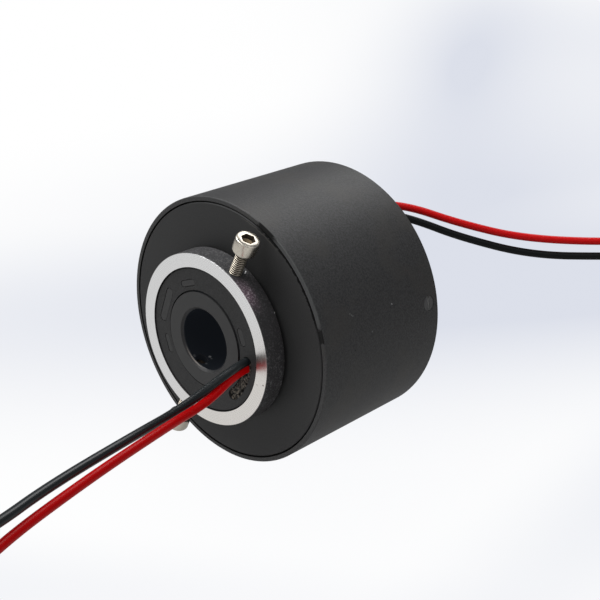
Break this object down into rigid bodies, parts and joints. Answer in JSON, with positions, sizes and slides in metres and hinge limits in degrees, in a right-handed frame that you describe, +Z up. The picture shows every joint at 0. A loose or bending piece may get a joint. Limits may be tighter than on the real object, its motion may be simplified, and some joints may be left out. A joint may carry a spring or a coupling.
{
  "type": "slip ring",
  "caption": "Through-bore slip ring: a drum housing turns on ball bearings round a hollow shaft with contact rings, a clamp collar and clamp screws, with free leads at both ends.",
  "frame": {"origin": "on the bore's axis, in the plane of the housing's front rim", "axes": "+Y along the bore from the clamp collar to the rear cover, +Z up through the brush gear, +X to the right seen from the collar"},
  "size_m": [0.0896, 0.2085, 0.056],
  "materials": {
    "housing_black": "fine bead-blasted matte black",
    "cover_black": "smooth matte black",
    "tube_black": "satin black",
    "core_plastic": "fine moulded grain",
    "plug_resin": "smooth set resin",
    "potting": "rough brownish filling",
    "collar_metal": "black grained side and bright turned face",
    "clamp_screw": "bright plated",
    "small_screw": "black oxide",
    "bearing_steel": "ground",
    "cage_plastic": "moulded",
    "contact_metal": "polished",
    "spring_bronze": "rolled strip",
    "brush_graphite": "metal graphite",
    "barrier_plastic": "moulded insulator",
    "grommet_rubber": "soft",
    "lead_red": "glossy insulation",
    "lead_black": "glossy insulation",
    "tinned": "tinned strands",
    "tie_plastic": "smooth"
  },
  "bodies": {
    "rotor": {"shaft_tube": "tube_black", "rotor_core": "core_plastic", "channel_plugs": "plug_resin", "lead_potting": "potting", "clamp_collar": "collar_metal", "front_spacer": "bearing_steel", "front_barrier": "barrier_plastic", "front_slip_ring": "contact_metal", "middle_barrier": "barrier_plastic", "rear_slip_ring": "contact_metal", "rear_barrier": "barrier_plastic", "front_bearing_inner_race": "bearing_steel", "rear_bearing_inner_race": "bearing_steel", "retaining_ring": "bearing_steel", "rotor_lead_black": "lead_black", "rotor_lead_red": "lead_red", "front_lead_black": "lead_black", "front_lead_black_coil": "lead_black", "front_lead_black_tie": "tie_plastic", "front_lead_red": "lead_red", "front_lead_red_coil": "lead_red", "front_lead_red_tie": "tie_plastic", "front_lead_ends": "tinned"},
    "upper_clamp_screw": {"clamp_screw_upper": "clamp_screw"},
    "lower_clamp_screw": {"clamp_screw_lower": "clamp_screw"},
    "front_cage": {"front_bearing_cage": "cage_plastic", "front_bearing_balls": "bearing_steel"},
    "rear_cage": {"rear_bearing_cage": "cage_plastic", "rear_bearing_balls": "bearing_steel"},
    "stator": {"housing": "housing_black", "front_cover": "cover_black", "rear_cover": "cover_black", "cover_screws": "small_screw", "front_bearing_outer_race": "bearing_steel", "rear_bearing_outer_race": "bearing_steel", "brush_holder": "barrier_plastic", "holder_screws": "small_screw", "front_brush": "brush_graphite", "rear_brush": "brush_graphite", "front_brush_spring": "spring_bronze", "rear_brush_spring": "spring_bronze", "terminal_rivets": "contact_metal", "lead_grommet": "grommet_rubber", "stator_lead_red": "lead_red", "stator_lead_black": "lead_black", "rear_lead_red": "lead_red", "rear_lead_red_coil": "lead_red", "rear_lead_red_tie": "tie_plastic", "rear_lead_black": "lead_black", "rear_lead_black_coil": "lead_black", "rear_lead_black_tie": "tie_plastic", "rear_lead_ends": "tinned"}
  },
  "joints": [
    {"name": "stator_spin", "type": "hinge", "parent": "rotor", "child": "stator", "pos_m": [0, 0, 0], "axis": [0, 1, 0], "continuous": true},
    {"name": "front_cage_spin", "type": "hinge", "parent": "rotor", "child": "front_cage", "pos_m": [0, 0, 0], "axis": [0, 1, 0], "continuous": true},
    {"name": "rear_cage_spin", "type": "hinge", "parent": "rotor", "child": "rear_cage", "pos_m": [0, 0, 0], "axis": [0, 1, 0], "continuous": true},
    {"name": "upper_screw_slide", "type": "slide", "parent": "rotor", "child": "upper_clamp_screw", "axis": [-0.4384, 0, -0.8988], "range_m": [-0.008, 0.0053]},
    {"name": "lower_screw_slide", "type": "slide", "parent": "rotor", "child": "lower_clamp_screw", "axis": [0.4384, 0, 0.8988], "range_m": [-0.008, 0.0053]}
  ],
  "couplings": [
    {"joint": "front_cage_spin", "follows": "stator_spin", "ratio": 0.52985},
    {"joint": "rear_cage_spin", "follows": "stator_spin", "ratio": 0.52985}
  ]
}
